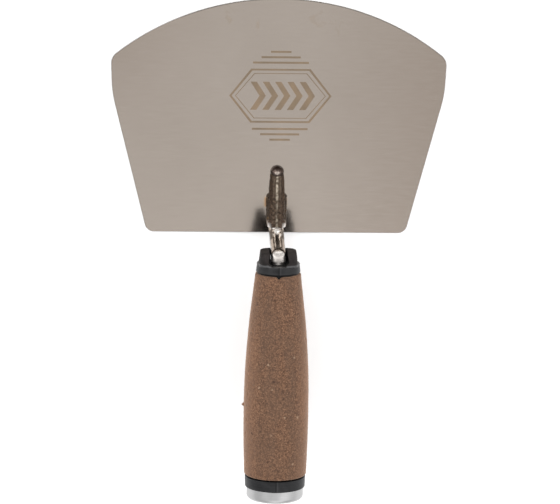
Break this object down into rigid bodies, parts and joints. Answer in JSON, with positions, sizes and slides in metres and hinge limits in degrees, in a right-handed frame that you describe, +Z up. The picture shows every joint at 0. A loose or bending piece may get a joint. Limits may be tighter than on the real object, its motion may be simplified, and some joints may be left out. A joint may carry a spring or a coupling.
{
  "type": "plastering trowel",
  "caption": "Plastering trowel: flat stainless blade with tapered sides and a wide arc front edge, welded gooseneck tang, moulded cork grip with black ferrules and a metal end cap",
  "frame": {"origin": "centre of the blade's flat working face, half way between the straight back edge and the crest of the front arc", "axes": "+X to the right across the blade, +Y along the tool towards the curved front edge, +Z up from the working face to the side that carries the handle; the handle runs back along -Y"},
  "size_m": [0.1798, 0.2664, 0.0639],
  "materials": {
    "stainless_blade": "satin",
    "forged_steel": "satin",
    "weld_metal": "satin",
    "black_plastic": "matte",
    "core_plastic": "matte",
    "moulded_cork": "matte",
    "fastener_steel": "satin",
    "cap_aluminium": "satin"
  },
  "bodies": {
    "root": {"blade": "stainless_blade", "tang": "forged_steel", "weld_bead_left": "weld_metal", "weld_bead_right": "weld_metal", "weld_nose": "weld_metal", "front_collar": "black_plastic", "handle_core": "core_plastic", "cork_grip": "moulded_cork", "rear_ring": "black_plastic", "washer": "fastener_steel", "lock_nut": "fastener_steel", "end_cap": "cap_aluminium"}
  },
  "joints": []
}
